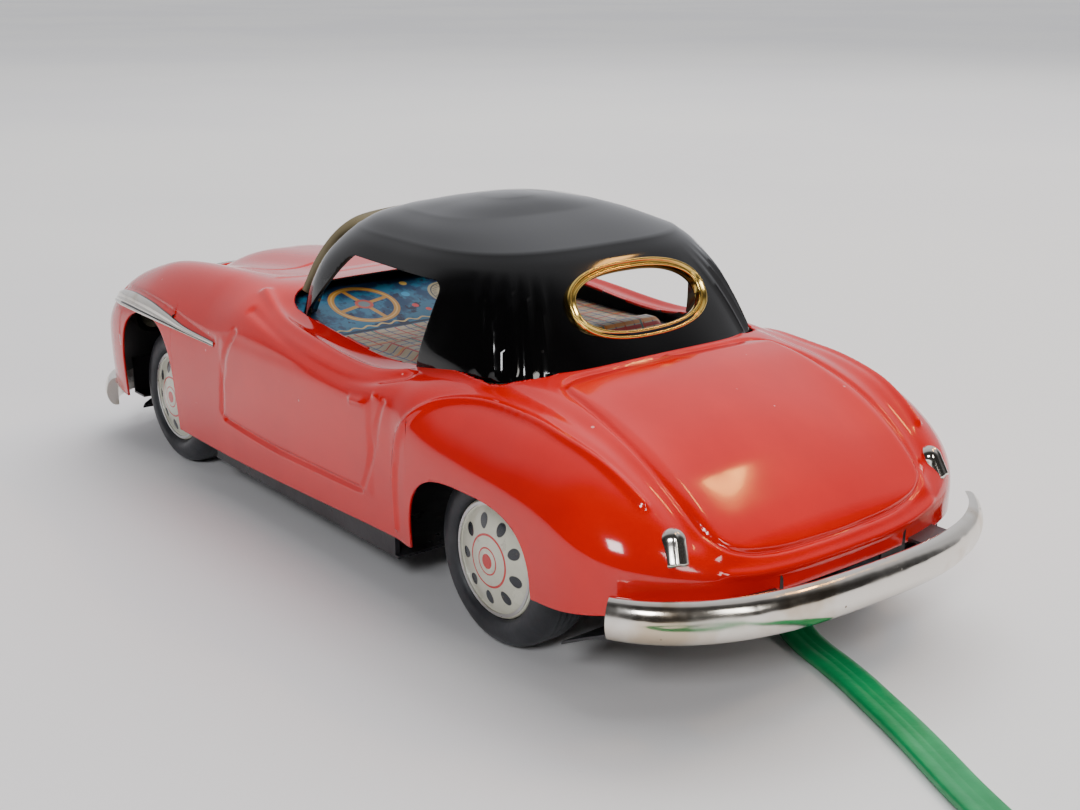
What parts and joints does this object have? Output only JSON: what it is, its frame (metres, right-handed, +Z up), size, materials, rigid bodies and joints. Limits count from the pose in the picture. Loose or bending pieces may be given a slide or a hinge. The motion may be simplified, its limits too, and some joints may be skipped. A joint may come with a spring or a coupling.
{
  "type": "toy roadster",
  "caption": "Pressed tinplate toy roadster with hard top, geared electric drive on the rear axle, swivelling front axle and trailing flat control cable.",
  "frame": {"origin": "on the ground under the middle of the car, between the wheels and midway between the bumpers, with the cable left out", "axes": "+X forward, +Y to the car's left, +Z up"},
  "size_m": [0.3105, 0.1477, 0.067],
  "materials": {
    "red_enamel": "gloss",
    "black_enamel": "gloss",
    "brass_trim": "polished",
    "litho_interior": "satin",
    "chrome_trim": "polished",
    "dark_steel": "satin",
    "lamp_lens": "clear",
    "bright_steel": "satin",
    "brass_parts": "satin",
    "gear_nylon": "satin",
    "magnet_black": "matt",
    "cap_plastic": "satin",
    "wheel_cream": "gloss",
    "tyre_rubber": "matt",
    "black_rubber": "matt",
    "green_vinyl": "gloss"
  },
  "bodies": {
    "chassis": {"body_shell": "red_enamel", "roof_shell": "black_enamel", "rear_window_rim": "brass_trim", "windshield_frame": "brass_trim", "base_plate": "black_enamel", "interior_tray": "litho_interior", "seat_pressing": "litho_interior", "rear_bumper": "chrome_trim", "front_bumper": "chrome_trim", "bumper_straps": "dark_steel", "tail_light_left": "chrome_trim", "tail_light_right": "chrome_trim", "headlight_ring_left": "chrome_trim", "headlight_ring_right": "chrome_trim", "headlight_lens_left": "lamp_lens", "headlight_lens_right": "lamp_lens", "grille_frame": "chrome_trim", "grille_mesh": "chrome_trim", "fender_flash_left": "chrome_trim", "fender_flash_right": "chrome_trim", "body_tabs": "red_enamel", "gearbox_plate_left": "bright_steel", "gearbox_plate_right": "bright_steel", "gearbox_pillars": "brass_parts", "idler_stud": "bright_steel", "motor_can": "bright_steel", "motor_magnets": "magnet_black", "motor_end_cap": "cap_plastic", "steering_rivet": "bright_steel", "motor_leads": "green_vinyl", "cable_grommet": "black_rubber", "control_cable": "green_vinyl", "cable_coil": "green_vinyl", "cable_tail": "green_vinyl", "cable_plug": "cap_plastic"},
    "rear_wheels": {"rear_axle": "bright_steel", "axle_gear": "gear_nylon", "rear_wheel_hubs": "bright_steel", "rear_disc_left": "wheel_cream", "rear_disc_right": "wheel_cream", "rear_tyre_left": "tyre_rubber", "rear_tyre_right": "tyre_rubber"},
    "idler": {"idler_gear": "gear_nylon"},
    "armature": {"motor_armature": "bright_steel", "motor_shaft": "bright_steel", "motor_pinion": "brass_parts"},
    "steering": {"steering_beam": "dark_steel"},
    "front_wheels": {"front_axle": "bright_steel", "front_wheel_hubs": "bright_steel", "front_disc_left": "wheel_cream", "front_disc_right": "wheel_cream", "front_tyre_left": "tyre_rubber", "front_tyre_right": "tyre_rubber"}
  },
  "joints": [
    {"name": "rear_axle_spin", "type": "hinge", "parent": "chassis", "child": "rear_wheels", "pos_m": [-0.0555, 0, 0.0154], "axis": [0, 1, 0], "continuous": true},
    {"name": "idler_spin", "type": "hinge", "parent": "chassis", "child": "idler", "pos_m": [-0.04822, 0, 0.02151], "axis": [0, 1, 0], "continuous": true},
    {"name": "motor_spin", "type": "hinge", "parent": "chassis", "child": "armature", "pos_m": [-0.03951, 0, 0.02227], "axis": [0, 1, 0], "continuous": true},
    {"name": "steering_turn", "type": "hinge", "parent": "chassis", "child": "steering", "pos_m": [0.0645, 0, 0.0079], "axis": [0, 0, 1], "range_deg": [-12, 12]},
    {"name": "front_axle_spin", "type": "hinge", "parent": "steering", "child": "front_wheels", "pos_m": [0.0645, 0, 0.0154], "axis": [0, 1, 0], "continuous": true}
  ],
  "couplings": [
    {"joint": "idler_spin", "follows": "rear_axle_spin", "ratio": -2.1667},
    {"joint": "motor_spin", "follows": "rear_axle_spin", "ratio": 6.2593}
  ]
}
